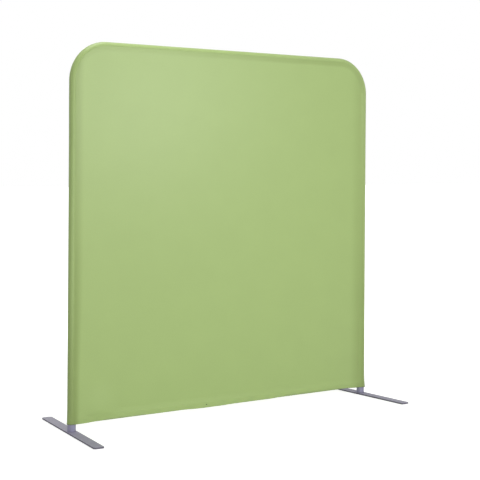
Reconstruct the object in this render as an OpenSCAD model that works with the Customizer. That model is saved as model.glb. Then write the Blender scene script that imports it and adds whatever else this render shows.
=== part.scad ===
// Display backwall: a round-tube frame inside a zipped stretch-fabric cover, on two swivelling bar feet.
// Millimetres. +X to the right, -Y to the front, +Z up. The origin is on the floor, midway between the feet.

/* [Wall] */
// Overall width over the cover
wall_w = 2230; // [1500:10:2700]
// Overall height from the floor to the top of the cover
wall_h = 2300; // [1500:10:2800]
// Outside radius of the two top corners
corner_r = 235; // [190:5:400]
// Height of the cover's lower edge above the floor
hem_gap = 52; // [48:1:120]

/* [Tube frame] */
// Outside diameter of the frame tube
tube_od = 50; // [40:1:60]
// Wall of the frame tube
tube_wall = 2; // [1.5:0.1:3]
// Length of the ferrule inside each tube joint
ferrule_len = 140; // [110:5:180]
// Wall of the ferrules and spigots
ferrule_wall = 2.5; // [2:0.1:4]
// Radial play between a tube and what slides into it
slip_fit = 0.15; // [0.1:0.05:0.4]
// Straight tail below each corner bend
bend_tail = 90; // [80:5:160]

/* [Snap buttons] */
// Diameter of a snap button
button_d = 8; // [6:0.5:10]
// How far a button stands out of the tube
button_proud = 2.5; // [1.5:0.1:4]
// Radial play of a button in its holes
button_play = 0.3; // [0.2:0.05:0.5]
// Thickness of the spring strip
spring_t = 0.8; // [0.5:0.1:1.2]

/* [Cover] */
// Thickness of the stretch fabric
skin_t = 1; // [0.6:0.1:1.5]
// Gap between the fabric and the tubes
skin_gap = 0.3; // [0.2:0.1:1]
// How far the faces dip in behind the tube line
face_dip = 6; // [2:0.5:9]
// Width of the margin over which they dip
dip_w = 38; // [30:1:80]
// Outside radius of the fold along the hem
hem_r = 6; // [3:0.5:14]
// Height of the elastic cuff round each post
cuff_h = 6; // [4:0.5:12]
// Thickness of the elastic cuff
cuff_t = 1.8; // [1.2:0.1:3]

/* [Zip] */
// Gap between the zip and the bottom rail above it
zip_drop = 6; // [5:0.5:12]
// Width of each zip tape outside the chain
tape_w = 6; // [4:0.5:10]
// Width of the closed zip chain
chain_w = 3.2; // [2.6:0.1:5]
// Thickness of the closed zip chain
chain_t = 2.5; // [2:0.1:3.5]
// Length of a zip slider
slider_len = 16; // [12:0.5:24]
// Width of a zip slider
slider_w = 10; // [8:0.5:14]
// Length of a pull tab from its eye
pull_len = 26; // [16:1:35]
// Where the two sliders meet, from the wall's centre
zip_meet_x = -190; // [-500:10:500]

/* [Feet] */
// Length of a foot bar, front to back
foot_len = 860; // [500:10:1000]
// Width of a foot bar
foot_w = 64; // [54:1:120]
// Thickness of a foot bar
foot_t = 8; // [5.5:0.5:12]
// Radius of a foot bar's corners
foot_corner_r = 12; // [4:1:24]
// Angle by which the front of each foot is turned outwards
foot_toe = 4.5; // [0:0.5:15]
// Thickness of the rubber pads
pad_t = 2; // [1.5:0.5:4]
// Diameter of the screw on which a foot turns
screw_d = 10; // [8:1:12]
// Height of a spigot inside its post
spigot_h = 48; // [44:1:50]

/* [Hidden] */

$fn = 96;
eps = 0.05;             // overrun of a cut past the face it opens
hole_past = 1;          // overrun of a hole past the far side of what it goes through
left = -1;
right = 1;

// Radii round a tube's centreline
tube_r = tube_od / 2;
bore_r = tube_r - tube_wall;
ferrule_r = bore_r - slip_fit;
ferrule_bore_r = ferrule_r - ferrule_wall;
skin_in = tube_r + skin_gap;
skin_out = skin_in + skin_t;

// The stack under each post, from the floor up
bar_z = pad_t;
washer_z = bar_z + foot_t;
washer_t = 1.5;
flange_z = washer_z + washer_t;
flange_t = 4.5;
seat_z = flange_z + flange_t;
spigot_floor = 10;      // metal above the flange that holds the thread
post_button_up = 26;    // from the flange to the snap button in the post
post_button_z = seat_z + post_button_up;

// Centrelines of the frame
post_x = wall_w / 2 - skin_out;
top_z = wall_h - skin_out;
bend_r = corner_r - skin_out;
bend_z = top_z - bend_r;
bend_x = post_x - bend_r;
shoulder_z = bend_z - bend_tail;
mid_z = (seat_z + shoulder_z) / 2;
rail_z = hem_gap + skin_t + zip_drop + tube_r;

// The six tube joints. A joint's own +Z runs along the tube towards the piece that pulls off,
// and its own +X points to the inside of the frame, where the snap button shows.
MID = 0;
SHOULDER = 2;
TOP = 4;
BOTTOM = 5;
upright = [0, 0, 0];
upright_mirrored = [0, 0, 180];
across_looking_down = [0, 90, 0];
across_looking_up = [0, -90, 180];
joint_at = [
    [-post_x, 0, mid_z], [post_x, 0, mid_z],
    [-post_x, 0, shoulder_z], [post_x, 0, shoulder_z],
    [0, 0, top_z], [0, 0, rail_z]
];
joint_turn = [
    upright, upright_mirrored, upright, upright_mirrored, across_looking_down, across_looking_up
];
snap_reach = ferrule_len / 4;       // from a joint to its button, and to its rivet
rear_facing = [0, 0, 90];

// Snap button and its spring
button_r = button_d / 2;
button_hole_r = button_r + button_play;
button_tip = tube_r + button_proud;
button_crown = 1.2;
button_flange_t = 1.2;
button_flange_gap = 1;  // from the ferrule's bore in to the button's flange
flange_front = ferrule_bore_r - button_flange_gap;
flange_back = flange_front - button_flange_t;
button_flange_rim = 1.4;
button_flange_r = button_r + button_flange_rim;
spring_w = button_d;
spring_gap = 0.2;       // from the far leaf's edges to the ferrule's bore
spring_near = flange_back - spring_t / 2;
spring_far = -sqrt(pow(ferrule_bore_r, 2) - pow(spring_w / 2, 2)) + spring_t / 2 + spring_gap;
spring_leaf = 7;        // length of leaf past the button's centre
spring_bend_z = -28;
spring_bend_x = [1, -3];    // where each leaf reaches the bend, across the tube

// Rivets
rivet_r = 2.4;
rivet_play = 0.1;
rivet_head_r = 4.5;
rivet_head_t = 1;
rivet_head_gap = 0.02;
rivet_head_bevel = 1;
rivet_tail_r = 3.6;
rivet_tail_t = 2;
rivet_tail_gap = 0.6;   // from the ferrule's bore to the tail, which is flat

// Saddles, where the bottom rail meets the posts
saddle_gap = 0.05;
saddle_tip = 12;        // from the post's centreline to the saddle's nose
saddle_body = 12;       // from the post's surface to the end of the rail
rail_end = tube_r + saddle_body;
saddle_plug = 45;
plug_root = 1;          // how far the plug runs into the saddle's body
saddle_screw_r = 4;
saddle_screw_play = 0.3;
saddle_screw_len = 26;
saddle_screw_spare = 3; // hole left past the screw's tip
saddle_head_r = 6.5;
saddle_head_t = 8;
saddle_head_gap = 0.1;
saddle_head_seat = sqrt(pow(bore_r, 2) - pow(saddle_head_r, 2)) - saddle_head_gap;
driver_hole_r = 7.5;

// Feet
screw_r = screw_d / 2;
pivot_play = 0.05;
screw_head_r = screw_d;
head_sink = 0.2;        // from the bar's underside up to the screw's head
head_play = 0.15;
screw_past = 2;         // screw showing above the spigot's floor
screw_top_z = seat_z + spigot_floor + screw_past;
washer_play = 0.2;
hex_key = 6;
hex_depth = 3;
pad_l = 60;
pad_inset = 8;
pad_end = 60;           // from a bar's end to the centre of its end pad
pad_near = 95;          // from the screw to the centre of each inner pad
pad_y = [-foot_len / 2 + pad_end, -pad_near, pad_near, foot_len / 2 - pad_end];

// Hem and zip
hem_z = hem_gap + skin_t / 2;
chain_r = chain_w / 2;
tape_gap = 0.05;        // from a tape's edge to the edge of its flap, which is sewn to it
flap_y = chain_r + tape_w + tape_gap;
flap_drop = rail_z - hem_gap;
flap_steps = 8;
cuff_clear_r = skin_in + cuff_t + skin_gap;         // the hole in the hem round each post and its cuff
tape_x = post_x - cuff_clear_r;
zip_clear = 4;          // from a pull tab's tip to the cuff, with its slider at the end of the chain
zip_x = post_x - skin_in - cuff_t - (pull_len - slider_len / 2) - zip_clear;
stop_len = 4;
stop_rise = 0.8;        // how far a stop reaches past the chain's top and bottom
stop_t = chain_t + 2 * stop_rise;
slider_play = 0.35;
slider_nose = 0.5;      // from the meeting point to each slider
plate_t = 1.5;
channel_t = chain_t + 2 * slider_play;
wedge_len = 5;
wedge_inset = 0.2;      // from the chain's sides in to the wedge
wedge_w = chain_w - 2 * wedge_inset;
wedge_gap = 1;          // from the wedge to the closed chain
chain_open = slider_nose + wedge_len + wedge_gap;   // half the open stretch between the sliders
pull_w = 4.8;
pull_t = 1.2;
bar_r = 0.8;
eye_play = 0.08;
eye_r = 1.7;
lug_t = 1;
lug_gap = 0.2;          // from a pull tab to the lugs and the plate beside it
pull_pivot_z = hem_z - channel_t / 2 - plate_t - eye_r - lug_gap;

// Cover faces
face_stations = 12;     // steps round each corner
face_rings = 6;         // steps across the dipping margin

// ---- shared shapes ----

module aluminium() color([0.62, 0.62, 0.65]) children();
module fabric() color([0.66, 0.75, 0.49]) children();
module spring_steel() color([0.45, 0.46, 0.48]) children();
module plated() color([0.75, 0.75, 0.76]) children();
module black_rubber() color([0.12, 0.12, 0.13]) children();

module at_joint(j) translate(joint_at[j]) rotate(joint_turn[j]) children();
module at_post(side) translate([side * post_x, 0, 0]) children();
module at_post_button(side) at_post(side) translate([0, 0, post_button_z]) rotate(rear_facing) children();

// One for each joint of a side: the left one of a pair comes first
function of_side(joint, side) = joint + (side == right ? 1 : 0);

// A tube's wall between two radii, from z = 0
module ring(outer, inner, h) {
    difference() {
        cylinder(r = outer, h = h);
        translate([0, 0, -eps]) cylinder(r = inner, h = h + 2 * eps);
    }
}

// A radial hole from the centreline out through the wall on the joint's +X side
module radial_hole(r, z = 0) translate([0, 0, z]) rotate([0, 90, 0]) cylinder(r = r, h = tube_r + hole_past);

module button_hole(j) at_joint(j) radial_hole(button_hole_r, snap_reach);
module rivet_hole(j) at_joint(j) radial_hole(rivet_r + rivet_play, -snap_reach);

// Sweeps a profile up one side, from z = from to the start of the bend. A profile's +X points outwards.
module up_side(side, from, to) {
    at_post(side) translate([0, 0, from]) mirror([side == left ? 1 : 0, 0, 0])
        linear_extrude(height = to - from) children();
}

// Sweeps the same profile round a top corner
module round_corner(side) {
    mirror([side == left ? 1 : 0, 0, 0]) translate([bend_x, 0, bend_z]) rotate([90, 0, 0])
        rotate_extrude(angle = 90) translate([bend_r, 0]) children();
}

// Sweeps the same profile along the width at height z, from x = from to x = to
module across(z, from, to) {
    translate([from, 0, z]) rotate(across_looking_up) linear_extrude(height = to - from) children();
}

module tube_section() {
    difference() {
        circle(r = tube_r);
        circle(r = bore_r);
    }
}

// ---- frame tubes ----

module upright_lower(side) {
    aluminium() difference() {
        up_side(side, seat_z, mid_z) tube_section();
        rivet_hole(of_side(MID, side));
        at_post_button(side) radial_hole(button_hole_r);
        at_post(side) translate([0, 0, rail_z]) {
            rotate([0, -side * 90, 0]) cylinder(r = saddle_screw_r + saddle_screw_play, h = tube_od);
            rotate([0, side * 90, 0]) cylinder(r = driver_hole_r, h = tube_od);
        }
    }
}

module upright_upper(side) {
    aluminium() difference() {
        up_side(side, mid_z, shoulder_z) tube_section();
        button_hole(of_side(MID, side));
        rivet_hole(of_side(SHOULDER, side));
    }
}

// Half of the top: the tail above the shoulder joint, the corner bend and the run to the centre
module top_tube(side) {
    aluminium() difference() {
        union() {
            up_side(side, shoulder_z, bend_z) tube_section();
            round_corner(side) tube_section();
            across(top_z, side == left ? -bend_x : 0, side == left ? 0 : bend_x) tube_section();
        }
        button_hole(of_side(SHOULDER, side));
        if (side == left) rivet_hole(TOP);
        if (side == right) button_hole(TOP);
    }
}

module bottom_rail(side) {
    reach = post_x - rail_end;
    aluminium() difference() {
        across(rail_z, side == left ? -reach : 0, side == left ? 0 : reach) tube_section();
        if (side == left) rivet_hole(BOTTOM);
        if (side == right) button_hole(BOTTOM);
    }
}

// ---- tube joints ----

module ferrule(j) {
    aluminium() at_joint(j) difference() {
        translate([0, 0, -ferrule_len / 2]) ring(ferrule_r, ferrule_bore_r, ferrule_len);
        radial_hole(button_hole_r, snap_reach);
        radial_hole(rivet_r + rivet_play, -snap_reach);
    }
}

// A button lies along its own +X, with the tube's centreline at x = 0
module snap_button() {
    plated() rotate([0, 90, 0]) rotate_extrude() polygon([
        [0, flange_back], [button_flange_r, flange_back], [button_flange_r, flange_front],
        [button_r, flange_front], [button_r, button_tip - button_crown],
        [button_r - button_crown / 2, button_tip - button_crown / 4],
        [button_r / 2, button_tip], [0, button_tip]
    ]);
}

// Offsets point i of an open path sideways by d, mitred at its corners
function unit(v) = v / norm(v);
function normal(v) = [-v.y, v.x];
function side_step(path, i, d) =
    let(
        n = len(path) - 1,
        a = unit(path[max(i, 1)] - path[max(i, 1) - 1]),
        b = unit(path[min(i, n - 1) + 1] - path[min(i, n - 1)]),
        m = unit(normal(a) + normal(b))
    )
    path[i] + m * d / (m * normal(a));
function strip(path, t) = concat(
    [for (i = [0 : len(path) - 1]) side_step(path, i, t / 2)],
    [for (i = [len(path) - 1 : -1 : 0]) side_step(path, i, -t / 2)]
);

// The V spring: one leaf behind the button's flange, the other against the far wall
module snap_spring() {
    path = [
        [spring_near, spring_leaf], [spring_near, -spring_leaf], [spring_bend_x[0], spring_bend_z],
        [spring_bend_x[1], spring_bend_z], [spring_far, -spring_leaf], [spring_far, spring_leaf]
    ];
    spring_steel() rotate([90, 0, 0]) linear_extrude(height = spring_w, center = true)
        polygon(strip(path, spring_t));
}

module at_snap(j) at_joint(j) translate([0, 0, snap_reach]) children();

module rivet() {
    outside = tube_r + rivet_head_gap;
    inside = ferrule_bore_r - rivet_tail_gap;
    plated() rotate([0, 90, 0]) rotate_extrude() polygon([
        [0, inside - rivet_tail_t], [rivet_tail_r, inside - rivet_tail_t], [rivet_tail_r, inside],
        [rivet_r, inside], [rivet_r, outside], [rivet_head_r, outside],
        [rivet_head_r - rivet_head_bevel, outside + rivet_head_t], [0, outside + rivet_head_t]
    ]);
}

module ferrule_rivets() {
    for (j = [0 : len(joint_at) - 1]) at_joint(j) translate([0, 0, -snap_reach]) rivet();
}

// ---- saddles ----

// Drawn for the right post, along -X from its centreline
module saddle(side) {
    aluminium() mirror([side == left ? 1 : 0, 0, 0]) at_post(right) translate([0, 0, rail_z]) difference() {
        union() {
            translate([-rail_end, 0, 0]) rotate([0, 90, 0]) cylinder(r = tube_r, h = rail_end - saddle_tip);
            translate([-rail_end - saddle_plug, 0, 0]) rotate([0, 90, 0])
                cylinder(r = ferrule_r, h = saddle_plug + plug_root);
        }
        cylinder(r = tube_r + saddle_gap, h = 2 * tube_od, center = true);
        translate([-tube_r - saddle_screw_len, 0, 0]) rotate([0, 90, 0])
            cylinder(r = saddle_screw_r + saddle_gap, h = saddle_screw_len + tube_r);
    }
}

module saddle_screw() {
    tip = tube_r + saddle_screw_len - saddle_screw_spare;
    rotate([0, -90, 0]) {
        translate([0, 0, saddle_head_seat]) cylinder(r = saddle_screw_r, h = tip - saddle_head_seat);
        difference() {
            translate([0, 0, saddle_head_seat - saddle_head_t]) cylinder(r = saddle_head_r, h = saddle_head_t);
            translate([0, 0, saddle_head_seat - saddle_head_t - eps])
                cylinder(d = hex_key, h = hex_depth, $fn = 6);
        }
    }
}

module saddle_screws() {
    for (side = [left, right])
        plated() mirror([side == left ? 1 : 0, 0, 0]) at_post(right) translate([0, 0, rail_z]) saddle_screw();
}

// ---- feet ----

module spigot(side) {
    aluminium() at_post(side) difference() {
        union() {
            translate([0, 0, flange_z]) cylinder(r = tube_r, h = flange_t);
            translate([0, 0, seat_z]) cylinder(r = ferrule_r, h = spigot_h);
        }
        translate([0, 0, seat_z + spigot_floor]) cylinder(r = ferrule_bore_r, h = spigot_h);
        translate([0, 0, flange_z - eps]) cylinder(r = screw_r + pivot_play, h = spigot_h);
        translate([0, 0, post_button_z]) rotate(rear_facing) radial_hole(button_hole_r);
    }
}

// Countersunk, flush with the underside of the foot bar
module countersunk(r, head_r, from, to) {
    translate([0, 0, from]) {
        cylinder(r1 = head_r, r2 = r, h = head_r - r);
        cylinder(r = r, h = to - from);
    }
}

module foot_screw(side) {
    plated() at_post(side) difference() {
        countersunk(screw_r, screw_head_r - head_sink - head_play, bar_z + head_sink, screw_top_z);
        translate([0, 0, bar_z]) cylinder(d = hex_key, h = hex_depth, $fn = 6);
    }
}

module foot_washer(side) {
    color("whitesmoke") at_post(side) translate([0, 0, washer_z])
        ring(tube_r, screw_r + washer_play, washer_t);
}

// Turns a foot about its post: the front ends stand further apart than the back ends
module at_foot(side) at_post(side) rotate([0, 0, side * foot_toe]) children();

module rounded_bar(w, l, r) {
    square([w - 2 * r, l], center = true);
    square([w, l - 2 * r], center = true);
    for (x = [-1, 1], y = [-1, 1]) translate([x * (w / 2 - r), y * (l / 2 - r)]) circle(r = r);
}

module foot_bar(side) {
    aluminium() at_foot(side) difference() {
        translate([0, 0, bar_z]) linear_extrude(height = foot_t) rounded_bar(foot_w, foot_len, foot_corner_r);
        countersunk(screw_r + pivot_play, screw_head_r, bar_z - eps, washer_z + hole_past);
    }
}

module foot_pads(side) {
    black_rubber() at_foot(side) for (y = pad_y)
        translate([0, y, 0]) linear_extrude(height = pad_t)
            rounded_bar(foot_w - 2 * pad_inset, pad_l, foot_corner_r / 3);
}

// ---- cover ----

// Depth of a face behind the tube line, at distance s inwards from it
function dip(s) = face_dip * (1 - cos(180 * s / dip_w)) / 2;

// One closed ring of a face at distance s inside the tube line, at depth y
function face_ring(s, y) = concat(
    [[-(post_x - s), y, rail_z + s]],
    [for (i = [0 : face_stations]) let(a = 180 - 90 * i / face_stations)
        [-bend_x + (bend_r - s) * cos(a), y, bend_z + (bend_r - s) * sin(a)]],
    [for (i = [0 : face_stations]) let(a = 90 - 90 * i / face_stations)
        [bend_x + (bend_r - s) * cos(a), y, bend_z + (bend_r - s) * sin(a)]],
    [[post_x - s, y, rail_z + s]]
);

// The front face of the cover, a thin sheet with its dipping margin all round
module face_sheet() {
    n = 2 * face_stations + 4;
    outer = [for (k = [0 : face_rings]) let(s = k * dip_w / face_rings) each face_ring(s, -skin_out + dip(s))];
    inner = [for (k = [0 : face_rings]) let(s = k * dip_w / face_rings) each face_ring(s, -skin_in + dip(s))];
    back = len(outer);
    last = face_rings * n;
    polyhedron(
        points = concat(outer, inner),
        faces = concat(
            [for (k = [0 : face_rings - 1], i = [0 : n - 1]) let(a = k * n, j = (i + 1) % n)
                each [[a + i, a + j, a + n + j], [a + i, a + n + j, a + n + i]]],
            [for (k = [0 : face_rings - 1], i = [0 : n - 1]) let(a = back + k * n, j = (i + 1) % n)
                each [[a + j, a + i, a + n + i], [a + j, a + n + i, a + n + j]]],
            [[for (i = [0 : n - 1]) last + i]],
            [[for (i = [n - 1 : -1 : 0]) back + last + i]],
            [for (i = [0 : n - 1]) let(j = (i + 1) % n) each [[j, i, back + i], [j, back + i, back + j]]]
        )
    );
}

module cover_front() fabric() face_sheet();
module cover_back() fabric() mirror([0, 1, 0]) face_sheet();

// The outer half of the skin round a tube
module half_skin() {
    difference() {
        circle(r = skin_out);
        circle(r = skin_in);
        translate([-2 * skin_out, -2 * skin_out]) square([2 * skin_out, 4 * skin_out]);
    }
}

module cover_edge_strip() {
    fabric() {
        for (side = [left, right]) {
            up_side(side, hem_gap + cuff_h, bend_z) half_skin();
            round_corner(side) half_skin();
        }
        across(top_z, -bend_x, bend_x) half_skin();
    }
}

// A flap's section: straight down past the rail, round the fold, then back to the zip.
// Its +X is up and its +Y is forwards.
function on_fold(r, a) = [hem_r - flap_drop - r * sin(a), skin_out - hem_r + r * cos(a)];
module flap_section() {
    polygon(concat(
        [[0, skin_out]],
        [for (i = [0 : flap_steps]) on_fold(hem_r, 90 * i / flap_steps)],
        [[-flap_drop, flap_y], [skin_t - flap_drop, flap_y]],
        [for (i = [flap_steps : -1 : 0]) on_fold(hem_r - skin_t, 90 * i / flap_steps)],
        [[0, skin_in]]
    ));
}

module hem_flap() {
    fabric() difference() {
        across(rail_z, -post_x, post_x) flap_section();
        for (side = [left, right]) at_post(side)
            cylinder(r = cuff_clear_r, h = hem_gap + max(cuff_h + skin_gap, hem_r));
    }
}

// The elastic cuff that closes the cover round a post. A tall one is notched to clear the rail and its saddle.
module post_cuff(side) {
    fabric() difference() {
        at_post(side) translate([0, 0, hem_gap]) ring(skin_in + cuff_t, skin_in, cuff_h);
        translate([-wall_w / 2, 0, rail_z]) rotate([0, 90, 0]) cylinder(r = skin_in, h = wall_w);
    }
}

// ---- zip ----

module zip_tape() {
    color([0.58, 0.68, 0.42]) translate([-tape_x, -chain_r - tape_w, hem_gap])
        cube([2 * tape_x, tape_w, skin_t]);
}

// The chain is closed on both sides of the two sliders and open between them
module zip_chain() {
    for (span = [[-zip_x, zip_meet_x - chain_open], [zip_meet_x + chain_open, zip_x]])
        color([0.3, 0.36, 0.24]) translate([span[0], -chain_r + eps, hem_z - chain_t / 2])
            cube([span[1] - span[0], chain_w - 2 * eps, chain_t]);
}

module zip_end_stops() {
    for (side = [left, right])
        plated() translate([side * (zip_x + stop_len / 2), 0, hem_z])
            cube([stop_len, chain_w - 2 * eps, stop_t], center = true);
}

// Drawn with its nose at x = 0 and its body along +X, centred on the chain
module slider_body() {
    plated() {
        for (z = [-1, 1]) translate([0, -slider_w / 2, z * (channel_t + plate_t) / 2 - plate_t / 2])
            cube([slider_len, slider_w, plate_t]);
        translate([0, -wedge_w / 2, -channel_t / 2 - eps]) cube([wedge_len, wedge_w, channel_t + 2 * eps]);
        for (y = [-1, 1]) translate([slider_len / 2, y * (pull_w / 2 + lug_t / 2 + lug_gap), 0])
            translate([-eye_r, -lug_t / 2, pull_pivot_z - hem_z - eye_r])
                cube([2 * eye_r, lug_t, hem_z - pull_pivot_z + eye_r - channel_t / 2 - eps]);
        translate([slider_len / 2, 0, pull_pivot_z - hem_z]) rotate([90, 0, 0])
            cylinder(r = bar_r, h = pull_w + lug_t + 2 * lug_gap, center = true);
    }
}

module at_slider(side) {
    translate([zip_meet_x + side * slider_nose, 0, hem_z]) mirror([side == left ? 1 : 0, 0, 0]) children();
}

module zip_slider(side) at_slider(side) slider_body();

module zip_pull(side) {
    plated() at_slider(side) translate([slider_len / 2, 0, pull_pivot_z - hem_z]) difference() {
        union() {
            rotate([90, 0, 0]) cylinder(r = eye_r, h = pull_w, center = true);
            translate([0, -pull_w / 2, -pull_t / 2]) cube([pull_len - pull_w / 2, pull_w, pull_t]);
            translate([pull_len - pull_w / 2, 0, -pull_t / 2]) cylinder(r = pull_w / 2, h = pull_t);
        }
        rotate([90, 0, 0]) cylinder(r = bar_r + eye_play, h = pull_w + hole_past, center = true);
        translate([pull_len - pull_w / 2, 0, 0])
            cylinder(r = pull_w / 4, h = pull_t + hole_past, center = true);
    }
}

upright_lower(left);  // upright_lower_left
upright_lower(right);  // upright_lower_right
upright_upper(left);  // upright_upper_left
upright_upper(right);  // upright_upper_right
top_tube(left);  // top_tube_left
top_tube(right);  // top_tube_right
bottom_rail(left);  // bottom_rail_left
bottom_rail(right);  // bottom_rail_right
ferrule(of_side(MID, left));  // ferrule_mid_left
ferrule(of_side(MID, right));  // ferrule_mid_right
ferrule(of_side(SHOULDER, left));  // ferrule_shoulder_left
ferrule(of_side(SHOULDER, right));  // ferrule_shoulder_right
ferrule(TOP);  // ferrule_top
ferrule(BOTTOM);  // ferrule_bottom
spigot(left);  // spigot_left
spigot(right);  // spigot_right
at_snap(of_side(MID, left)) snap_button();  // snap_button_mid_left
at_snap(of_side(MID, right)) snap_button();  // snap_button_mid_right
at_snap(of_side(SHOULDER, left)) snap_button();  // snap_button_shoulder_left
at_snap(of_side(SHOULDER, right)) snap_button();  // snap_button_shoulder_right
at_snap(TOP) snap_button();  // snap_button_top
at_snap(BOTTOM) snap_button();  // snap_button_bottom
at_post_button(left) snap_button();  // snap_button_post_left
at_post_button(right) snap_button();  // snap_button_post_right
at_snap(of_side(MID, left)) snap_spring();  // snap_spring_mid_left
at_snap(of_side(MID, right)) snap_spring();  // snap_spring_mid_right
at_snap(of_side(SHOULDER, left)) snap_spring();  // snap_spring_shoulder_left
at_snap(of_side(SHOULDER, right)) snap_spring();  // snap_spring_shoulder_right
at_snap(TOP) snap_spring();  // snap_spring_top
at_snap(BOTTOM) snap_spring();  // snap_spring_bottom
at_post_button(left) rotate([180, 0, 0]) snap_spring();  // snap_spring_post_left
at_post_button(right) rotate([180, 0, 0]) snap_spring();  // snap_spring_post_right
ferrule_rivets();
saddle(left);  // saddle_left
saddle(right);  // saddle_right
saddle_screws();
foot_bar(left);  // foot_bar_left
foot_bar(right);  // foot_bar_right
foot_pads(left);  // foot_pads_left
foot_pads(right);  // foot_pads_right
foot_screw(left);  // foot_screw_left
foot_screw(right);  // foot_screw_right
foot_washer(left);  // foot_washer_left
foot_washer(right);  // foot_washer_right
cover_front();
cover_back();
cover_edge_strip();
hem_flap();  // hem_flap_front
mirror([0, 1, 0]) hem_flap();  // hem_flap_back
post_cuff(left);  // post_cuff_left
post_cuff(right);  // post_cuff_right
zip_tape();  // zip_tape_front
mirror([0, 1, 0]) zip_tape();  // zip_tape_back
zip_chain();
zip_end_stops();
zip_slider(left);  // zip_slider_left
zip_slider(right);  // zip_slider_right
zip_pull(left);  // zip_pull_left
zip_pull(right);  // zip_pull_right
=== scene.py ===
import math

import bpy
from mathutils import Euler, Matrix, Vector


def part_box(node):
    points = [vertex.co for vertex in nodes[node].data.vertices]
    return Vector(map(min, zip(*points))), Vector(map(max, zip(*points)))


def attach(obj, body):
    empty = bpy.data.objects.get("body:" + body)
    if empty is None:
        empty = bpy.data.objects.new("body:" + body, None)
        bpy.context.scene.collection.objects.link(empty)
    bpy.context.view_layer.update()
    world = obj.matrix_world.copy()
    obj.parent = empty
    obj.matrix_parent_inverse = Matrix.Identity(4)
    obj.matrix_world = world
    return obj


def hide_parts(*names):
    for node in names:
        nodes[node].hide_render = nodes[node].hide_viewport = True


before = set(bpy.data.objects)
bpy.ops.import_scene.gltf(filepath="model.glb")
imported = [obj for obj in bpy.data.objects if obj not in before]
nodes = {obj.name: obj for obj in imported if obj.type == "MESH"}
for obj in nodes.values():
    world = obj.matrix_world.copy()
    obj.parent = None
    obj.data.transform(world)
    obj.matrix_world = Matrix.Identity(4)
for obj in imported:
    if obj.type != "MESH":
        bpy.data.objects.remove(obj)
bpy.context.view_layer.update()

# ---- camera ----
# A standing person's view from the left, level, with the wall turned a third of a right angle away.
# The lens is shifted down to take in the feet, as a camera with a shift lens does.
camera = bpy.data.objects.new("camera", bpy.data.cameras.new("camera"))
bpy.context.scene.collection.objects.link(camera)
bpy.context.scene.camera = camera
camera.location = (-4.0055, -6.1473, 1.5847)
level_turn = Euler((math.radians(90), 0, math.radians(-33.62))).to_matrix()
camera_roll = Matrix.Rotation(0.0064, 3, "Z")
camera.rotation_euler = (level_turn @ camera_roll).to_euler()
camera.data.sensor_width = 36
camera.data.lens = 86.39
camera.data.shift_y = -0.1603
camera.data.clip_end = 200

# ---- frame tubes ----
# The frame is 50 mm aluminium tube, drawn and then satin anodised grey. The sections plug together,
# and only the lowest 36 mm of the two posts show, below the cover.


def linear(colour):
    """An sRGB hex colour as linear red, green, blue and alpha."""
    parts = [int(colour[i:i + 2], 16) / 255 for i in (1, 3, 5)]
    return (*[c / 12.92 if c <= 0.04045 else ((c + 0.055) / 1.055) ** 2.4 for c in parts], 1)


def add_node(tree, kind, settings=None, links=None):
    """Adds a node. A setting is a property or an input's value. A link joins an input to an output."""
    node = tree.nodes.new(kind)
    for key, value in (settings or {}).items():
        if isinstance(key, str) and hasattr(node, key):
            setattr(node, key, value)
        else:
            node.inputs[key].default_value = value
    for key, source in (links or {}).items():
        tree.links.new(source, node.inputs[key])
    return node


def new_material(name, **settings):
    """A material with a Principled shader set from keywords, such as Roughness=0.4."""
    material = bpy.data.materials.new(name)
    material.use_nodes = True
    shader = material.node_tree.nodes["Principled BSDF"]
    for key, value in settings.items():
        shader.inputs[key.replace("_", " ")].default_value = value
    return material, material.node_tree, shader


grains_per_patch = 25                   # lighter and darker patches are this many grains across


def grained(name, dark, light, grain_mm, run=(1, 1, 1), rough=(0.3, 0.5), relief_mm=0.01, **settings):
    """A surface whose grain shows in its colour, gloss and relief. run draws it out along each axis."""
    material, tree, shader = new_material(name, **settings)
    place = add_node(tree, "ShaderNodeTexCoord")
    stretch = add_node(tree, "ShaderNodeMapping", {"Scale": [1 / r for r in run]},
                       {"Vector": place.outputs["Object"]})
    grain = add_node(tree, "ShaderNodeTexNoise", {"Scale": 1000 / grain_mm, "Detail": 3, "Roughness": 0.6},
                     {"Vector": stretch.outputs[0]})
    patches = add_node(tree, "ShaderNodeTexNoise",
                       {"Scale": 1000 / (grains_per_patch * grain_mm), "Detail": 2},
                       {"Vector": stretch.outputs[0]})
    half = add_node(tree, "ShaderNodeMath", {"operation": "MULTIPLY", 1: 0.5}, {0: patches.outputs["Fac"]})
    both = add_node(tree, "ShaderNodeMath", {"operation": "MULTIPLY_ADD", 1: 0.5},
                    {0: grain.outputs["Fac"], 2: half.outputs[0]})
    ramp = add_node(tree, "ShaderNodeValToRGB", {}, {"Fac": both.outputs[0]})
    ramp.color_ramp.elements[0].position, ramp.color_ramp.elements[0].color = 0.3, linear(dark)
    ramp.color_ramp.elements[1].position, ramp.color_ramp.elements[1].color = 0.7, linear(light)
    gloss = add_node(tree, "ShaderNodeMapRange", {"To Min": rough[0], "To Max": rough[1]},
                     {"Value": both.outputs[0]})
    relief = add_node(tree, "ShaderNodeBump", {"Strength": 0.6, "Distance": relief_mm / 1000},
                      {"Height": grain.outputs["Fac"]})
    tree.links.new(ramp.outputs["Color"], shader.inputs["Base Color"])
    tree.links.new(gloss.outputs[0], shader.inputs["Roughness"])
    tree.links.new(relief.outputs[0], shader.inputs["Normal"])
    return material


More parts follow.
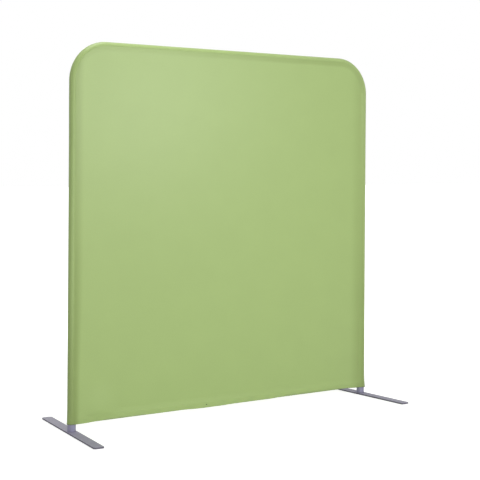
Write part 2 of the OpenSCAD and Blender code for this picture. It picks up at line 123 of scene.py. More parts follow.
def finish_nodes(material, *names, edge_mm=0.0):
    """Gives CAD nodes a material. With edge_mm, it welds their loose triangles and rounds sharp edges."""
    for name in names:
        node = nodes[name]
        node.data.materials.clear()
        node.data.materials.append(material)
        if edge_mm:
            weld = node.modifiers.new("weld", "WELD")
            weld.merge_threshold = 2e-6
            edge = node.modifiers.new("edge", "BEVEL")
            edge.width = edge_mm / 1000
            edge.segments = 2
            edge.limit_method = "ANGLE"
            edge.angle_limit = math.radians(35)


sides = ("left", "right")

# Drawn tube has fine lines along its length; bead blasting and a thick anodised layer scatter most of
# the light, so its shine is a soft grey with a cast of violet.
anodised = {"dark": "#8b89a1", "light": "#9f9db5", "grain_mm": 0.6, "rough": (0.5, 0.62), "Metallic": 0.15,
            "Specular_IOR_Level": 0.3}
anodised_up = grained("anodised_aluminium_upright", run=(1, 1, 30), **anodised)
anodised_across = grained("anodised_aluminium_across", run=(30, 1, 1), **anodised)
for side in sides:
    finish_nodes(anodised_up, f"upright_lower_{side}", f"upright_upper_{side}", f"top_tube_{side}")
    finish_nodes(anodised_across, f"bottom_rail_{side}")

# ---- tube joints ----
# Each ferrule is a plain drawn aluminium sleeve, riveted into one tube and held in the next by a
# nickel-plated snap button on a V of tempered spring strip. Only the two buttons in the posts show.
plain_sleeve = grained("plain_drawn_aluminium", "#a9a9ac", "#c2c2c4", 0.5, run=(1, 1, 20), rough=(0.25, 0.4),
                       Metallic=1.0)
nickel = grained("bright_nickel_plate", "#b9b6ae", "#cfccc4", 0.8, rough=(0.12, 0.22), relief_mm=0.003,
                 Metallic=1.0)
blued_strip = grained("tempered_spring_steel", "#4c4f57", "#6b6f78", 0.4, run=(1, 1, 12), rough=(0.3, 0.45),
                      Metallic=1.0)
rivet_head = grained("pulled_aluminium_rivet", "#b4b4b6", "#c9c9ca", 0.5, rough=(0.3, 0.45), Metallic=1.0)
joints = [f"{place}_{side}" for place in ("mid", "shoulder") for side in sides] + ["top", "bottom"]
posts = [f"post_{side}" for side in sides]
finish_nodes(plain_sleeve, *[f"ferrule_{j}" for j in joints])
finish_nodes(nickel, *[f"snap_button_{j}" for j in joints + posts])
finish_nodes(blued_strip, *[f"snap_spring_{j}" for j in joints + posts])
finish_nodes(rivet_head, "ferrule_rivets")

# ---- saddles and spigots ----
# Cast saddles carry the bottom rail on the posts, each held by a zinc-plated screw. A turned
# spigot plugs into each post and stands on the foot by its flange.
cast = grained("die_cast_aluminium", "#8f8f92", "#a6a6a8", 1.5, rough=(0.4, 0.6), relief_mm=0.04,
               Metallic=1.0)
turned = grained("turned_anodised_aluminium", "#83819a", "#9694ab", 0.5, run=(12, 12, 1), rough=(0.42, 0.54),
                 Metallic=0.2, Specular_IOR_Level=0.3)
zinc = grained("zinc_plated_steel", "#9c9fa0", "#b9bbb6", 2.5, rough=(0.3, 0.5), relief_mm=0.005,
               Metallic=1.0)
finish_nodes(zinc, "saddle_screws")
for side in sides:
    finish_nodes(cast, f"saddle_{side}", edge_mm=0.3)
    finish_nodes(turned, f"spigot_{side}", edge_mm=0.4)
    finish_nodes(zinc, f"foot_screw_{side}")

# ---- feet ----
# Each foot is a flat steel bar with rounded corners, powder coated grey with a violet cast. It
# turns on a countersunk screw under its post, on a nylon washer, and stands on four rubber pads.
powder_coat = grained("satin_powder_coated_steel", "#928ea2", "#a19db0", 1.8, rough=(0.52, 0.64),
                      relief_mm=0.03, Specular_IOR_Level=0.4)
# Painted shade: the bars' upright sides, low by the floor, are drawn darker than their flats.
bar_side_shade = grained("powder_coat_painted_side_shade", "#605d6c", "#6f6c7b", 1.2, run=(1, 1, 6),
                        rough=(0.6, 0.75), relief_mm=0.05, Specular_IOR_Level=0.3)
nylon = grained("grey_nylon_washer", "#77777c", "#86868a", 1.0, rough=(0.45, 0.6), relief_mm=0.01)
rubber = grained("matt_black_rubber", "#1b1b1d", "#2a2a2c", 0.8, rough=(0.75, 0.9), relief_mm=0.03)
for side in sides:
    finish_nodes(powder_coat, f"foot_bar_{side}", edge_mm=0.8)
    bar = nodes[f"foot_bar_{side}"].data
    bar.materials.append(bar_side_shade)
    for face in bar.polygons:
        is_side = abs(face.normal.z) < 0.5
        face.material_index = 1 if is_side else 0
    finish_nodes(nylon, f"foot_washer_{side}")
    finish_nodes(rubber, f"foot_pads_{side}", edge_mm=0.4)

# ---- cover, front and back ----
# The cover is a pillowcase of matt knitted polyester, cut small and stretched over the frame. Each
# face meets the edge strip in a seam along the tubes, dips a little behind them, hangs straight past
# the bottom rail and turns under to the zip.
post_lo, post_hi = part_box("upright_lower_right")
rail_lo, rail_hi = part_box("bottom_rail_right")
strip_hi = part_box("cover_edge_strip")[1]
tape_lo, tape_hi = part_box("zip_tape_front")
cuff_lo, cuff_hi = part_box("post_cuff_left")
tube_r = (post_hi.y - post_lo.y) / 2
post_x = (post_lo.x + post_hi.x) / 2
rail_z = (rail_lo.z + rail_hi.z) / 2
skin_out = strip_hi.x - post_x          # the cloth's outside, from a tube's centreline
skin_t = 0.0009                         # the cloth's thickness, 0.1 mm under the CAD's
skin_r = skin_out - skin_t / 2          # the middle of the cloth, from a tube's centreline
cuff_r = (cuff_hi.y - cuff_lo.y) / 2 - skin_t
top_z = strip_hi.z - skin_out
corner_r = 0.235                        # the cover's top corners, outside
bend_r = corner_r - skin_out            # the tubes' centreline there
bend_x, bend_z = post_x - bend_r, top_z - bend_r
hem_z = (tape_lo.z + tape_hi.z) / 2
zip_half = -tape_lo.y + skin_t / 2      # from the zip's centreline to the sewn edge of each flap


def ease(low, high, value):
    """Rises smoothly from 0 at low to 1 at high."""
    t = min(max((value - low) / (high - low), 0), 1)
    return t * t * (3 - 2 * t)


def hump(centre, half, value):
    """1 at the centre, falling smoothly to 0 at half away."""
    return 1 - ease(0, half, abs(value - centre))


wrap_angle = math.radians(7)            # how far the cloth wraps past the front of a tube
slope_end, flat_from = 0.014, 0.042     # where the slope beside a tube starts to level, and is level
seam_depth, seam_width = 0.00025, 0.0012
left_flare, right_flare = 0.0020, 0.0090        # how far the sides stand off the posts by the cuffs
# The soft fold above the hem, at the left: its middle, half its width, how far it stands out, and the
# heights at which it starts, stands out furthest and ends.
roll_x, roll_half, roll_out = -0.92, 0.15, 0.0095
roll_low, roll_full, roll_high = 0.056, 0.114, 0.3
# Where the front hem is drawn up or let down along the width, and by how much.
hem_changes = [(-1.03, -0.86, 0.0078), (-0.66, -0.54, -0.0034), (-0.39, -0.18, -0.0065),
               (-0.07, 0.05, 0.0022), (0.32, 0.46, 0.0072), (0.86, 1.06, -0.0090)]
ripple = 0.0009                         # the slow waves of each face, over its flat middle


def dip(s):
    """How far a face lies back from the tubes' fronts, s inwards from a tube's centreline."""
    wrapped = skin_r * math.sin(wrap_angle)
    slope = math.tan(wrap_angle)
    depth = skin_r - math.sqrt(skin_r ** 2 - min(s, wrapped) ** 2)
    depth += slope * max(min(s, slope_end) - wrapped, 0)
    past = max(min(s, flat_from) - slope_end, 0)
    return depth + slope * (past - past ** 2 / (2 * (flat_from - slope_end)))


def seam_crease(distance):
    """The seam draws the cloth in a quarter of a millimetre, over its last millimetre or two."""
    return seam_depth * math.exp(-(distance / seam_width) ** 2)


def seam_distance(x, z):
    """From a point of a face to the seam, which runs up the sides and over the top, not along the hem."""
    if abs(x) > bend_x and z > bend_z:
        return bend_r - math.hypot(abs(x) - bend_x, z - bend_z)
    return min(post_x - abs(x), top_z - z)


def cloth_painted_shade(x, z):
    """How much painted shade darkens the cloth: over the tubes, for the light they keep from coming through,
    and in broad bands beside the posts, more low down, and along the top to the right.
    """
    from_left, from_right = post_x + x, post_x - x
    from_top = seam_distance(x, z) if z > bend_z else 1
    # Painted shade: stronger towards the bottom, in a broad band beside the right post, and along the top,
    # more to the right.
    strength = 0.88 - 0.3 * ease(0.2, 1.7, z)
    left_end = 0.046 + 0.02 * ease(0.2, 1.0, z)
    left = strength * (1 - ease(0.008, left_end, from_left))
    right = strength * (0.7 * (1 - ease(0.02, 0.125, from_right)) + 0.3 * (1 - ease(0, 0.018, from_right)))
    top = (0.05 + 0.3 * ease(-0.6, 0.6, x)) * (1 - ease(0.02, 0.04, from_top))
    return 1 - (1 - left) * (1 - right) * (1 - top)


def flare(x, z):
    """How far the cover's sides stand off the posts at the bottom, more at the right one."""
    return (left_flare if x < 0 else right_flare) * (1 - ease(0.045, 0.18, z)) ** 2


def swell(x, z):
    """The soft fold at the left: the front rolls forwards there, and falls back to the hem."""
    height = ease(roll_low, roll_full, z) * (1 - ease(roll_full, roll_high, z))
    return roll_out * hump(roll_x, roll_half, x) * height


def hem_lift(x, front):
    """How far the hem is drawn up from the zip's level. It sags by the sliders and at the right end."""
    drawn_up = sum(change * ease(start, end, x) for start, end, change in hem_changes)
    return drawn_up if front > 0 else 0.4 * drawn_up


def fold_radius(x, front):
    """The fold is pressed sharper at the left end of the front than along the rest."""
    return 0.003 + 0.005 * ease(-0.28, -0.16, x) if front > 0 else 0.006


def steps(marks):
    """A list of places from (place, spacing) marks, the spacing changing evenly between them."""
    places = [marks[0][0]]
    for (start, gap_a), (end, gap_b) in zip(marks, marks[1:]):
        count = max(1, round((end - start) / ((gap_a + gap_b) / 2)))
        weights = [gap_a + (gap_b - gap_a) * (i + 0.5) / count for i in range(count)]
        for i in range(count):
            places.append(start + (end - start) * sum(weights[:i + 1]) / sum(weights))
    return places


half_bottom = steps([(0, 0.025), (0.95, 0.014), (post_x - 0.04, 0.003), (post_x - 0.004, 0.001),
                     (post_x, 0.0007)])
bottom_places = [-x for x in reversed(half_bottom)] + half_bottom[1:]
side_length = bend_z - rail_z
side_parts = [p / side_length for p in steps([(0, 0.004), (0.1, 0.012), (0.3, 0.028), (side_length, 0.028)])]
flipped_side_parts = [1 - t for t in reversed(side_parts)]
arc_parts, top_parts = 22, 64
arc_angles = [math.pi / 2 * i / arc_parts for i in range(arc_parts + 1)]
ring_places = steps([(0, 0.0007), (0.003, 0.0015), (0.012, 0.003), (0.06, 0.006), (0.13, 0.022), (0.5, 0.045),
                     (post_x - 0.02, 0.05)])
square_from = 0.08                      # from here inwards the rings' corners close in on the middle
straight_rows, fold_rows, flat_rows = 7, 8, 5


def face_outline(s):
    """One ring round a face, s inside the tubes' centreline, anticlockwise from the bottom left."""
    half = post_x - s
    top, bottom = top_z - s, rail_z + s
    radius = bend_r - s if s < square_from else (bend_r - square_from) * (post_x - s) / (post_x - square_from)
    arc_x, arc_z = half - radius, top - radius
    points = [(x / post_x * half, bottom) for x in bottom_places[:-1]]
    points += [(half, bottom + (arc_z - bottom) * t) for t in side_parts[:-1]]
    points += [(arc_x + radius * math.cos(a), arc_z + radius * math.sin(a)) for a in arc_angles[:-1]]
    points += [(arc_x * (1 - 2 * i / top_parts), top) for i in range(top_parts)]
    points += [(-arc_x - radius * math.sin(a), arc_z + radius * math.cos(a)) for a in arc_angles[:-1]]
    points += [(-half, bottom + (arc_z - bottom) * (1 - t)) for t in flipped_side_parts[:-1]]
    return points


def under_hem(x, out, front):
    """Height of the flap's flat part, out from the zip's centreline."""
    fold_at = skin_r - fold_radius(x, front)
    t = ease(zip_half, fold_at, out)
    return hem_z + hem_lift(x, front) * t


def hanging(low):
    """The flap's straight part, from the rail down to a height."""
    return [(skin_r, rail_z + (low - rail_z) * i / straight_rows) for i in range(1, straight_rows + 1)]


def flap_column(x, front):
    """The flap's depths and heights at x: straight past the rail, round the fold, and back to zip or cuff."""
    inside = post_x - abs(x)
    inner = max(zip_half, math.sqrt(max(cuff_r ** 2 - inside ** 2, 0)))
    room = skin_r - inner
    low = hem_z + hem_lift(x, front)
    if room < 0.0015:                   # beside the post there is no room to turn under
        return hanging(low)
    radius = min(fold_radius(x, front), 0.7 * room)
    column = hanging(low + radius)
    for i in range(1, fold_rows + 1):
        a = math.pi / 2 * i / fold_rows
        column.append((skin_r - radius * (1 - math.cos(a)), low + radius * (1 - math.sin(a))))
    for i in range(1, flat_rows + 1):
        out = skin_r - radius + (inner - skin_r + radius) * i / flat_rows
        column.append((out, under_hem(x, out, front)))
    return column


def cover_face(name, front):
    """A whole face with its flap, as one sheet. front is 1 for the front and -1 for the back."""
    verts, uvs, shades, faces = [], [], [], []
    for s in ring_places:
        outline = face_outline(s)
        for x, z in outline:
            loose = hump(roll_x, roll_half, x) * (1 - ease(0.11, 0.28, z)) if front > 0 else 0
            drawn_in = dip(seam_distance(x, z)) * dip(z - rail_z) / dip(1)
            out = skin_r - drawn_in * (1 - loose) - seam_crease(seam_distance(x, z))
            waves = math.sin(5.1 * x + 2.3 * z * front) + math.sin(3.7 * z - 2.2 * x + front)
            out += ripple * min(s / 0.4, 1) * waves
            out += swell(x, z) if front > 0 else 0
            verts.append((x, -front * out, z))
            uvs.append((x, z))
            shades.append(cloth_painted_shade(front * x, z))
    middle, count = len(verts), len(outline)
    verts.append((0, -front * (skin_r - dip(1)), (top_z + rail_z) / 2))
    uvs.append((0, (top_z + rail_z) / 2))
    shades.append(0)
    for k in range(len(ring_places) - 1):
        for i in range(count):
            a, b, j = k * count, (k + 1) * count, (i + 1) % count
            faces.append((a + i, a + j, b + j, b + i))
    last = (len(ring_places) - 1) * count
    faces += [(last + i, last + (i + 1) % count, middle) for i in range(count)]
    previous = None
    for i, x in enumerate(bottom_places):
        column, travelled, at = [i], 0.0, (skin_r, rail_z)
        for out, z in flap_column(x, front):
            travelled += math.hypot(out - at[0], z - at[1])
            at = (out, z)
            forward = swell(x, z) if front > 0 else 0
            crease = seam_crease(post_x - abs(x)) if z > hem_z + 0.004 else 0
            column.append(len(verts))
            verts.append((x, -front * (out + forward - crease), z))
            uvs.append((x, rail_z - travelled))
            shades.append(cloth_painted_shade(front * x, z))
        if previous:
            faces += [(a, b, c, d) for a, b, c, d in zip(previous[1:], column[1:], column, previous)]
        previous = column
    if front < 0:
        faces = [tuple(reversed(f)) for f in faces]
    return cloth(name, verts, faces, uvs, shades)


def cloth(name, verts, faces, uvs, shades, thickness=skin_t):
    """A smooth sheet with its cut pattern as UVs in metres, and its painted shade as an attribute."""
    mesh = bpy.data.meshes.new(name)
    mesh.from_pydata(verts, [], faces)
    layer = mesh.uv_layers.new(name="cut")
    for loop in mesh.loops:
        layer.data[loop.index].uv = uvs[loop.vertex_index]
    mesh.attributes.new("cloth_painted_shade", "FLOAT", "POINT").data.foreach_set("value", shades)
    mesh.shade_smooth()
    sheet = bpy.data.objects.new(name, mesh)
    bpy.context.scene.collection.objects.link(sheet)
    wall = sheet.modifiers.new("thickness", "SOLIDIFY")
    wall.thickness = thickness
    wall.offset = 0
    return sheet


def knitted(name, plain, shaded_colour, wale_mm, course_mm, relief_mm, **settings):
    """Cloth on its cut pattern. An attribute darkens it towards its shaded colour: painted shade, most where
    metal lies right behind it and keeps light from coming through.
    """
    material, tree, shader = new_material(name, **settings)
    cut = add_node(tree, "ShaderNodeUVMap", {"uv_map": "cut"})
    on_cloth = {"Vector": cut.outputs[0]}
    rows = {"wave_type": "BANDS", "Distortion": 0.6, "Detail": 1, "Detail Scale": 2}
    fine = 100 * math.pi                # the wave texture's scale for rows 1 mm apart
    wales = add_node(tree, "ShaderNodeTexWave", {**rows, "bands_direction": "X", "Scale": fine / wale_mm},
                     on_cloth)
    courses = add_node(tree, "ShaderNodeTexWave", {**rows, "bands_direction": "Y", "Scale": fine / course_mm},
                       on_cloth)
    multiply = {"operation": "MULTIPLY"}
    loops = add_node(tree, "ShaderNodeMath", multiply, {0: wales.outputs["Fac"], 1: courses.outputs["Fac"]})
    yarn = add_node(tree, "ShaderNodeTexNoise", {"Scale": 160, "Detail": 4, "Roughness": 0.65}, on_cloth)
    cloud = add_node(tree, "ShaderNodeTexNoise", {"Scale": 5, "Detail": 2}, on_cloth)
    # The painted shade, read from the mesh.
    metal = add_node(tree, "ShaderNodeAttribute", {"attribute_name": "cloth_painted_shade"})
    shade = add_node(tree, "ShaderNodeMix", {"data_type": "RGBA", 6: linear(plain), 7: linear(shaded_colour)},
                     {0: metal.outputs["Fac"]})
    spread = {"From Min": 0.3, "From Max": 0.7}
    speck = add_node(tree, "ShaderNodeMapRange", {**spread, "To Min": 0.965, "To Max": 1.035},
                     {"Value": yarn.outputs["Fac"]})
    drift = add_node(tree, "ShaderNodeMapRange", {**spread, "To Min": 0.988, "To Max": 1.012},
                     {"Value": cloud.outputs["Fac"]})
    pit = add_node(tree, "ShaderNodeMapRange", {"To Min": 0.95, "To Max": 1.03}, {"Value": loops.outputs[0]})
    tone = add_node(tree, "ShaderNodeMath", multiply, {0: speck.outputs[0], 1: drift.outputs[0]})
    tone = add_node(tree, "ShaderNodeMath", multiply, {0: tone.outputs[0], 1: pit.outputs[0]})
    colour = add_node(tree, "ShaderNodeVectorMath", {"operation": "SCALE"},
                      {0: shade.outputs[2], "Scale": tone.outputs[0]})
    relief = add_node(tree, "ShaderNodeBump", {"Strength": 0.5, "Distance": relief_mm / 1000},
                      {"Height": loops.outputs[0]})
    tree.links.new(colour.outputs[0], shader.inputs["Base Color"])
    tree.links.new(relief.outputs[0], shader.inputs["Normal"])
    return material


# Fine matt knit with a faint sheen. Its 0.6 mm loops are drawn 4.8 mm wide, so that they show close to.
# Its second colour is the painted shade tone.
polyester_knit = knitted("stretch_polyester_knit", "#a3ba74", "#889c58", 4.8, 4.0, 0.12, Roughness=0.42,
                         Specular_IOR_Level=0.45, Sheen_Weight=0.05, Sheen_Roughness=0.5)

for which, front in (("front", 1), ("back", -1)):
    panel = cover_face(f"cover_{which}_panel", front)
    panel.data.materials.append(polyester_knit)
    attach(panel, "wall")
    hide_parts(f"cover_{which}", f"hem_flap_{which}")

# ---- edge strip ----
# A strip of the same knit joins the two faces: up one side, over the top and down the other, on the
# outer half of the tubes. It is stretched lengthwise, and ends inside the cuffs.
strip_ring = 14
strip_tuck = 0.005                      # how far each end reaches down inside its cuff
cuff_slip = {"left": 0.0, "right": -0.003}      # the right cuff has slid down its post a little
shoulder_z, shoulder_half, shoulder_out = 2.0, 0.32, 0.0015     # slack below the top corners


def side_path(side, sign):
    """Up one side, from inside the cuff to the start of the bend: place, and the way outwards."""
    foot = cuff_hi.z - strip_tuck + cuff_slip[side]
    heights = steps([(foot, 0.004), (0.12, 0.01), (0.3, 0.028), (bend_z, 0.028)])
    return [(sign * post_x, z, sign, 0.0) for z in heights]


left_path = side_path("left", -1.0)
left_arc = [(-bend_x - bend_r * math.cos(a), bend_z + bend_r * math.sin(a), -math.cos(a), math.sin(a))
            for a in arc_angles[1:]]
top_run = [(bend_x * (2 * i / top_parts - 1), top_z, 0.0, 1.0) for i in range(1, top_parts + 1)]
right_arc = [(bend_x + bend_r * math.sin(a), bend_z + bend_r * math.cos(a), math.sin(a), math.cos(a))
             for a in arc_angles[1:]]
right_path = list(reversed(side_path("right", 1.0)[:-1]))
strip_path = left_path + left_arc + top_run + right_arc + right_path
verts, uvs, faces, shades, travelled = [], [], [], [], 0.0
for k, (x, z, out_x, out_z) in enumerate(strip_path):
    if k:
        travelled += math.hypot(x - strip_path[k - 1][0], z - strip_path[k - 1][1])
    shoulder = shoulder_out * hump(shoulder_z, shoulder_half, z) * abs(out_x)
    # Painted shade: the strip is drawn darker on the sides than over the top, and more so low down.
    strip_painted_shade = abs(out_x) * (0.25 + 0.5 * (1 - ease(0.2, 1.0, z)))
    for i in range(strip_ring + 1):
        turn = math.pi * i / strip_ring
        edge = skin_r * min(turn, math.pi - turn)
        r = skin_r - seam_crease(edge)
        reach = r * math.sin(turn) + (flare(x, z) + shoulder) * math.sin(turn) ** 2
        verts.append((x + out_x * reach, -r * math.cos(turn), z + out_z * reach))
        uvs.append((turn * skin_r, travelled))
        shades.append(strip_painted_shade)
        if k and i:
            a, b = (k - 1) * (strip_ring + 1) + i - 1, k * (strip_ring + 1) + i - 1
            faces.append((a, b, b + 1, a + 1))
edge_strip = cloth("cover_edge_band", verts, faces, uvs, shades)
edge_strip.data.materials.append(polyester_knit)
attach(edge_strip, "wall")
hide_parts("cover_edge_strip")

# ---- cuffs ----
# An elastic binding closes the cover round each post. It is a ribbed tape folded over the cloth's
# cut edge and sewn, and it follows the cloth where that stands off the post. Its ribs are drawn 3 mm
# apart, so that they show.
elastic = knitted("ribbed_elastic_binding", "#828c63", "#7a845c", 3.0, 12.0, 0.25, Roughness=0.7)
cuff_height = cuff_hi.z - cuff_lo.z
corner = 0.5                            # squareness of the binding's section: 1 is round, 0 is square
cuff_turns, section_turns = 72, 12
section_step = 0.0012                   # from one point of the section to the next, on the flat tape
cuff_section = [(math.copysign(abs(math.cos(a)) ** corner, math.cos(a)),
                 math.copysign(abs(math.sin(a)) ** corner, math.sin(a)))
                for a in [2 * math.pi * (i + 0.5) / section_turns for i in range(section_turns)]]
for side, sign in (("left", -1), ("right", 1)):
    verts, uvs, faces = [], [], []
    for k in range(cuff_turns):
        turn = 2 * math.pi * k / cuff_turns
        off = flare(sign, cuff_hi.z) * max(math.cos(turn), 0) ** 2
        slip = cuff_slip[side] * (1 - max(-math.cos(turn), 0) ** 2)
        for i, (across, up) in enumerate(cuff_section):
            r = cuff_r + off + skin_t * across
            verts.append((sign * (post_x + r * math.cos(turn)), -r * math.sin(turn),
                          cuff_lo.z + slip + (1 + up) * cuff_height / 2))
            uvs.append((turn * tube_r, i * section_step))
            here, there = k * section_turns, (k + 1) % cuff_turns * section_turns
            after = (i + 1) % section_turns
            face = (here + i, here + after, there + after, there + i)
            faces.append(face if sign > 0 else (face[0], face[3], face[2], face[1]))
    # The binding takes its darker, shaded colour all round: partly its own greyer colour, partly painted
    # shade where it sits below the hem.
    cuff = cloth(f"cuff_binding_{side}", verts, faces, uvs, [1.0] * len(verts))
    cuff.modifiers.clear()
    cuff.data.materials.append(elastic)
    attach(cuff, "wall")
    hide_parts(f"post_cuff_{side}")

# ---- zip tapes ----
# Each half of the zip has a woven tape. Its outer part laps 4 mm over the inside of the flap, where
# two rows of stitches hold it. Its fine weave is drawn 3.2 by 1.8 mm, so that it shows.
woven_tape = knitted("woven_zip_tape", "#8fa566", "#869c5e", 3.2, 1.8, 0.08, Roughness=0.75)
tape_t = 0.0006
lap_outs, lap_up = (0.0084, 0.0104, 0.0125), (skin_t + tape_t) / 2 + 0.00005
# Each tape's section is flat by the coil, steps up beside it, and then lies on the flap.
flat_section = [(-tape_hi.y, 0), (0.0035, 0), (0.0056, 0), (0.0065, 0.00015), (0.0074, 0.0006)]
end_gap = 0.0002
tape_columns = steps([(tape_lo.x + end_gap, 0.02), (0, 0.02), (tape_hi.x - end_gap, 0.02)])
for which, front in (("front", 1), ("back", -1)):
    verts, uvs, faces = [], [], []
    for k, x in enumerate(tape_columns):
        section = [(out, hem_z + up) for out, up in flat_section]
        section += [(out, under_hem(x, out, front) + lap_up) for out in lap_outs]
        for i, (out, z) in enumerate(section):
            verts.append((x, -front * out, z))
            uvs.append((x, out))
            if k and i:
                a, b = (k - 1) * len(section) + i - 1, k * len(section) + i - 1
                faces.append((a, a + 1, b + 1, b) if front > 0 else (a, b, b + 1, a + 1))
    tape = cloth(f"zip_tape_{which}_woven", verts, faces, uvs, [0.0] * len(verts), tape_t)
    tape.data.materials.append(woven_tape)
    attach(tape, "wall")
    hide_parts(f"zip_tape_{which}")

# ---- zip coil ----
# The chain is two nylon coils that mesh: flattened loops 1.2 mm apart on each half, half a pitch out
# of step. It is closed on both sides of the two sliders and open between them.


def geometry_rule(name, inputs):
    """An empty tree with a geometry input and output, and a named input for each size."""
    tree = bpy.data.node_groups.new(name, "GeometryNodeTree")
    tree.interface.new_socket("Geometry", in_out="INPUT", socket_type="NodeSocketGeometry")
    tree.interface.new_socket("Geometry", in_out="OUTPUT", socket_type="NodeSocketGeometry")
    for label, value in inputs.items():
        kind = "NodeSocketVector" if isinstance(value, tuple) else "NodeSocketFloat"
        tree.interface.new_socket(label, in_out="INPUT", socket_type=kind)
    return tree, tree.nodes.new("NodeGroupInput"), tree.nodes.new("NodeGroupOutput")


def repeated(name, tree, inputs, verts, edges):
    """Runs a tree on a line drawing and returns the result as a plain piece."""
    lines = bpy.data.meshes.new(f"{name}_lines")
    lines.from_pydata(verts, edges, [])
    source = bpy.data.objects.new(f"{name}_lines", lines)
    bpy.context.scene.collection.objects.link(source)
    modifier = source.modifiers.new("rule", "NODES")
    modifier.node_group = tree
    for item in tree.interface.items_tree:
        if item.in_out == "INPUT" and item.name in inputs:
            modifier[item.identifier] = inputs[item.name]
    graph = bpy.context.evaluated_depsgraph_get()
    mesh = bpy.data.meshes.new_from_object(source.evaluated_get(graph))
    mesh.name = name
    bpy.data.objects.remove(source)
    bpy.data.meshes.remove(lines)
    piece = bpy.data.objects.new(name, mesh)
    bpy.context.scene.collection.objects.link(piece)
    return piece


nylon_coil = grained("dyed_nylon_coil", "#4d5a38", "#66744a", 0.5, rough=(0.35, 0.5), relief_mm=0.01)
coil_sizes = {"Pitch": 0.0012, "Loop": (0.00052, 0.00098, 0.00118), "Side step": 0.0005}
coil_rule, given, result = geometry_rule("meshed_coils", coil_sizes)
curve = add_node(coil_rule, "GeometryNodeMeshToCurve", {}, {0: given.outputs["Geometry"]})
places = add_node(coil_rule, "GeometryNodeCurveToPoints", {"mode": "LENGTH"},
                  {"Curve": curve.outputs[0], "Length": given.outputs["Pitch"]})
loop = add_node(coil_rule, "GeometryNodeMeshIcoSphere", {"Radius": 1.0, "Subdivisions": 1})
half_pitch = add_node(coil_rule, "ShaderNodeMath", {"operation": "MULTIPLY", 1: 0.5},
                      {0: given.outputs["Pitch"]})
other_side = add_node(coil_rule, "ShaderNodeMath", {"operation": "MULTIPLY", 1: -1.0},
                      {0: given.outputs["Side step"]})
joined = add_node(coil_rule, "GeometryNodeJoinGeometry")
for step in ({"Y": given.outputs["Side step"]}, {"Y": other_side.outputs[0], "X": half_pitch.outputs[0]}):
    shift = add_node(coil_rule, "ShaderNodeCombineXYZ", {}, step)
    row = add_node(coil_rule, "GeometryNodeSetPosition", {},
                   {"Geometry": places.outputs["Points"], "Offset": shift.outputs[0]})
    loops = add_node(coil_rule, "GeometryNodeInstanceOnPoints", {},
                     {"Points": row.outputs[0], "Instance": loop.outputs["Mesh"],
                      "Scale": given.outputs["Loop"]})
    coil_rule.links.new(loops.outputs[0], joined.inputs[0])
real = add_node(coil_rule, "GeometryNodeRealizeInstances", {}, {0: joined.outputs[0]})
finish = add_node(coil_rule, "GeometryNodeSetMaterial", {"Material": nylon_coil},
                  {"Geometry": real.outputs[0]})
coil_rule.links.new(finish.outputs[0], result.inputs[0])

chain_lo, chain_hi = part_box("zip_chain")
slider_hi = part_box("zip_slider_left")[1]
meeting_x = slider_hi.x + 0.0005        # between the noses of the two sliders
open_half = 0.0065                      # the coils are apart this far to each side of it
end_room = 0.0012                       # from each span's end to its first loop
span_ends = (chain_lo.x + end_room, meeting_x - open_half - end_room,
             meeting_x + open_half + end_room, chain_hi.x - end_room)
coil = repeated("zip_coil_meshed", coil_rule, coil_sizes, [(x, 0, hem_z) for x in span_ends],
                [(0, 1), (2, 3)])
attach(coil, "wall")
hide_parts("zip_chain")

# ---- zip sliders and stops ----
# Two cast zinc sliders, painted to go with the cloth, run from the middle to the ends. Each has a
# flat pull tab with a hole, and a stop at each end of the coil keeps it on.
painted_zinc = grained("painted_zinc_casting", "#5d6354", "#717768", 1.2, rough=(0.32, 0.48), relief_mm=0.01,
                       Metallic=0.3)
finish_nodes(painted_zinc, "zip_end_stops", *[f"zip_slider_{side}" for side in sides],
             *[f"zip_pull_{side}" for side in sides], edge_mm=0.25)

# ---- stitches ----
# Polyester thread a shade darker than the cloth: two rows through each flap and its tape, and a bar
# tack on the hem above the place where the sliders meet.
thread = grained("polyester_thread", "#8ea362", "#a2b775", 0.4, rough=(0.5, 0.65), relief_mm=0.02)
stitch_sizes = {"Spacing": 0.0032, "Stitch": (0.0003, 0.0003, 0.00115)}
stitch_rule, given, result = geometry_rule("lockstitch", stitch_sizes)
curve = add_node(stitch_rule, "GeometryNodeMeshToCurve", {}, {0: given.outputs["Geometry"]})
places = add_node(stitch_rule, "GeometryNodeCurveToPoints", {"mode": "LENGTH"},
                  {"Curve": curve.outputs[0], "Length": given.outputs["Spacing"]})
bead = add_node(stitch_rule, "GeometryNodeMeshIcoSphere", {"Radius": 1.0, "Subdivisions": 1})
laid = add_node(stitch_rule, "GeometryNodeInstanceOnPoints", {},
                {"Points": places.outputs["Points"], "Instance": bead.outputs["Mesh"],
                 "Rotation": places.outputs["Rotation"], "Scale": given.outputs["Stitch"]})
real = add_node(stitch_rule, "GeometryNodeRealizeInstances", {}, {0: laid.outputs[0]})
finish = add_node(stitch_rule, "GeometryNodeSetMaterial", {"Material": thread}, {"Geometry": real.outputs[0]})
stitch_rule.links.new(finish.outputs[0], result.inputs[0])

verts, edges = [], []
stitch_rows = (zip_half + 0.0013, zip_half + 0.0033)
row_ends = 0.006
thread_clear = 0.0001                   # between a thread's centreline and the cloth it lies on
row_places = steps([(tape_lo.x + row_ends, 0.02), (tape_hi.x - row_ends, 0.02)])
for front in (1, -1):
    for out in stitch_rows:
        for k, x in enumerate(row_places):
            if k:
                edges.append((len(verts) - 1, len(verts)))
            verts.append((x, -front * out, under_hem(x, out, front) - skin_t / 2 - thread_clear))
hem_stitches = repeated("hem_stitches", stitch_rule, stitch_sizes, verts, edges)
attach(hem_stitches, "wall")

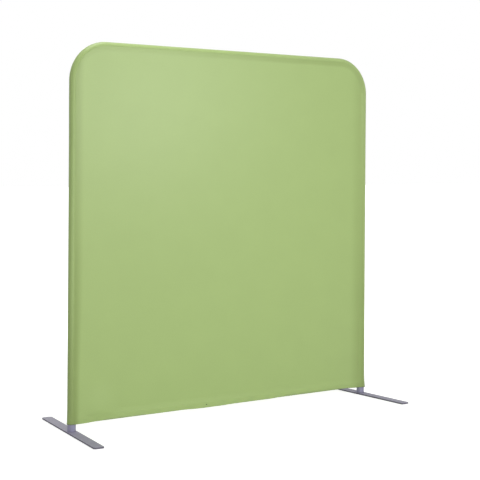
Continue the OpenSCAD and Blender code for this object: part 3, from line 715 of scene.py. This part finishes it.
# The bar tack is one dark thread laid up and down ten times, close together.
tack_thread = grained("dark_green_thread", "#4f6034", "#637646", 0.4, rough=(0.5, 0.65), relief_mm=0.02)
tack_x, tack_z, tack_half, tack_high, tack_turns = -0.176, 0.0715, 0.0042, 0.0034, 10
tack_r, tack_sides = 0.00042, 6
route = [(tack_x - tack_half + 2 * tack_half * i / (2 * tack_turns),
          tack_z + (tack_high if i % 2 else -tack_high)) for i in range(2 * tack_turns + 1)]
verts, faces = [], []
for k, (x, z) in enumerate(route):
    for i in range(tack_sides):
        a = 2 * math.pi * i / tack_sides
        verts.append((x + tack_r * math.cos(a), -skin_out - thread_clear - tack_r * math.sin(a), z))
    if k:
        below, above = (k - 1, k) if k % 2 else (k, k - 1)
        low, high = below * tack_sides, above * tack_sides
        for i in range(tack_sides):
            after = (i + 1) % tack_sides
            faces.append((low + i, high + i, high + after, low + after))
ends = [tuple(range(tack_sides)), tuple(reversed(range(len(verts) - tack_sides, len(verts))))]
tack_mesh = bpy.data.meshes.new("bar_tack")
tack_mesh.from_pydata(verts, [], faces + ends)
tack_mesh.materials.append(tack_thread)
bar_tack = bpy.data.objects.new("bar_tack", tack_mesh)
bpy.context.scene.collection.objects.link(bar_tack)
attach(bar_tack, "wall")

# ---- studio ----
# A white floor that runs out of sight, and soft light: two large lamps in front, one overhead, one
# behind, and an even white surround. The floor and surround show white to the camera.
surround_light = 0.39                   # what the surround gives the object; it shows at full white
world = bpy.data.worlds.new("white_surround")
bpy.context.scene.world = world
world.use_nodes = True
sky = world.node_tree
sky_light = sky.nodes["Background"]
sky_light.inputs["Color"].default_value = (1, 1, 1, 1)
ray = add_node(sky, "ShaderNodeLightPath")
seen = add_node(sky, "ShaderNodeMath", {"operation": "MAXIMUM"},
                {0: ray.outputs["Is Camera Ray"], 1: ray.outputs["Is Glossy Ray"]})
seen = add_node(sky, "ShaderNodeMath", {"operation": "MAXIMUM"},
                {0: seen.outputs[0], 1: ray.outputs["Is Transmission Ray"]})
level = add_node(sky, "ShaderNodeMapRange", {"To Min": surround_light, "To Max": 1.0},
                 {"Value": seen.outputs[0]})
sky.links.new(level.outputs[0], sky_light.inputs["Strength"])


def lamp(name, place, aim, size, power):
    """A square soft lamp at a place, turned to a point. Size in metres, power in watts."""
    light = bpy.data.lights.new(name, "AREA")
    light.size, light.energy = size, power
    holder = bpy.data.objects.new(name, light)
    bpy.context.scene.collection.objects.link(holder)
    holder.location = place
    holder.rotation_euler = (Vector(aim) - Vector(place)).to_track_quat("-Z", "Y").to_euler()


lamp("front_lamp", (1.5, -4.3, 2.3), (-0.2, 0, 0.9), 1.3, 76)
lamp("side_lamp", (-2.8, -4.5, 1.5), (-0.3, 0, 0.7), 1.8, 52)
lamp("overhead_lamp", (-0.8, -0.25, 4.4), (-0.2, 0, 0), 1.6, 42)
lamp("rear_lamp", (0.5, 4.5, 3.2), (0, 0, 0.8), 2.0, 50)

floor_half = 60
floor_mesh = bpy.data.meshes.new("floor")
floor_mesh.from_pydata([(-floor_half, -floor_half, 0), (floor_half, -floor_half, 0),
                        (floor_half, floor_half, 0), (-floor_half, floor_half, 0)], [], [(0, 1, 2, 3)])
floor = bpy.data.objects.new("floor", floor_mesh)
bpy.context.scene.collection.objects.link(floor)
# Seamless matt white studio vinyl. It glows for the camera alone: partly round the object, so that the
# shadow still shows, and fully further off, where it meets the surround.
near_glow, glow_from, glow_full = 0.54, 1.5, 5.0
vinyl, tree, shader = new_material("matt_white_studio_vinyl", Roughness=0.8, Base_Color=linear("#eeeeee"))
ray = add_node(tree, "ShaderNodeLightPath")
place = add_node(tree, "ShaderNodeTexCoord")
away = add_node(tree, "ShaderNodeVectorMath", {"operation": "LENGTH"}, {0: place.outputs["Object"]})
far = add_node(tree, "ShaderNodeMapRange",
               {"From Min": glow_from, "From Max": glow_full, "To Min": near_glow, "To Max": 1.0},
               {"Value": away.outputs["Value"]})
glow = add_node(tree, "ShaderNodeMath", {"operation": "MULTIPLY"},
                {0: far.outputs[0], 1: ray.outputs["Is Camera Ray"]})
shader.inputs["Emission Color"].default_value = (1, 1, 1, 1)
tree.links.new(glow.outputs[0], shader.inputs["Emission Strength"])
floor_mesh.materials.append(vinyl)

bpy.context.scene.view_settings.view_transform = "Standard"
